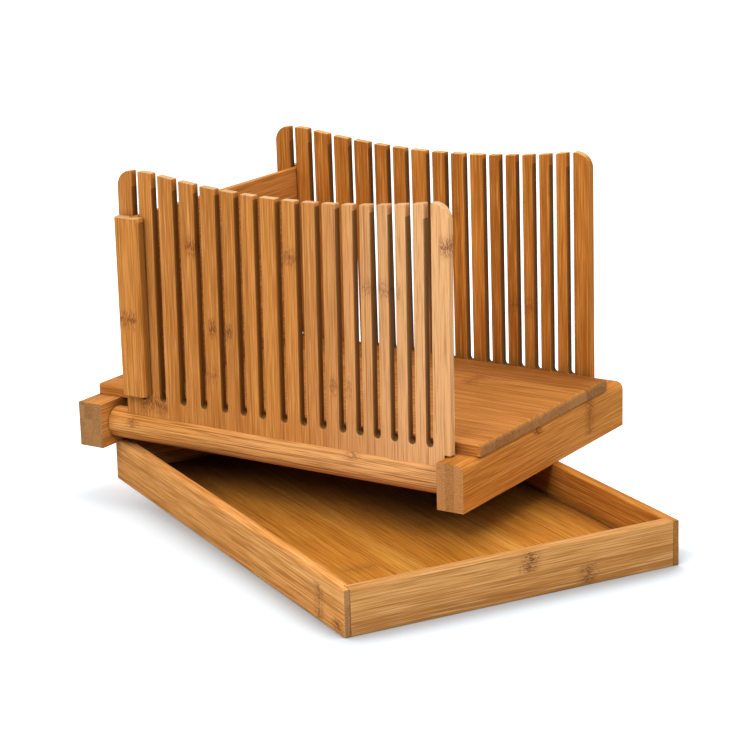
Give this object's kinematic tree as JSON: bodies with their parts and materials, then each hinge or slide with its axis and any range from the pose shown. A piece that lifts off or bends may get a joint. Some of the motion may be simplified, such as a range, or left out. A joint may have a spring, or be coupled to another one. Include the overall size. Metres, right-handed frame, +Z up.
{
  "type": "bread slicer guide",
  "caption": "Bamboo bread slicer guide: a deck on rails between slotted knife guides, with a lift-out stop board, resting turned on the rim of a shallow crumb tray.",
  "frame": {"origin": "centre of the footprint of the whole set, guide and tray together, on the surface that the tray stands on", "axes": "+X along the guide from the stop board's end to the open end, +Y from the front slotted guide to the back one, +Z up; the tray is turned 60.6 degrees about +Z"},
  "size_m": [0.3488, 0.3044, 0.1817],
  "materials": {
    "rail_bamboo": "satin oiled bamboo, long strips along the rail",
    "deck_bamboo": "satin oiled bamboo, strips along the deck",
    "dowel_wood": "plain turned dowel",
    "bar_bamboo": "satin oiled bamboo, turned round",
    "pin_steel": "plain ground pin",
    "panel_bamboo": "satin oiled bamboo, upright strips",
    "stop_bamboo": "satin oiled bamboo, upright strips",
    "cleat_bamboo": "satin oiled bamboo, upright grain",
    "tray_bamboo": "satin oiled bamboo, strips along each board",
    "tray_floor_bamboo": "satin oiled bamboo, strips along the tray"
  },
  "bodies": {
    "tray": {"tray_left_board": "tray_bamboo", "tray_right_board": "tray_bamboo", "tray_front_board": "tray_bamboo", "tray_back_board": "tray_bamboo", "tray_floor": "tray_floor_bamboo"},
    "base": {"left_rail": "rail_bamboo", "right_rail": "rail_bamboo", "deck_board": "deck_bamboo", "left_deck_dowels": "dowel_wood", "right_deck_dowels": "dowel_wood"},
    "front_guide": {"front_panel": "panel_bamboo", "front_bar": "bar_bamboo", "front_left_pin": "pin_steel", "front_right_pin": "pin_steel"},
    "back_guide": {"back_panel": "panel_bamboo", "back_bar": "bar_bamboo", "back_left_pin": "pin_steel", "back_right_pin": "pin_steel"},
    "stop": {"stop_board": "stop_bamboo", "front_cleat": "cleat_bamboo", "back_cleat": "cleat_bamboo"}
  },
  "joints": [
    {"name": "guide_lift", "type": "slide", "parent": "tray", "child": "base", "axis": [0, 0, 1], "range_m": [0, 0.08]},
    {"name": "front_guide_pivot", "type": "hinge", "parent": "base", "child": "front_guide", "pos_m": [-0.0494, -0.0189, 0.037], "axis": [-1, 0, 0], "range_deg": [-0.7, 10.5]},
    {"name": "back_guide_pivot", "type": "hinge", "parent": "base", "child": "back_guide", "pos_m": [-0.0494, 0.1295, 0.037], "axis": [1, 0, 0], "range_deg": [-0.7, 10.5]},
    {"name": "stop_lift", "type": "slide", "parent": "base", "child": "stop", "axis": [0, 0, 1], "range_m": [0, 0.127]}
  ]
}
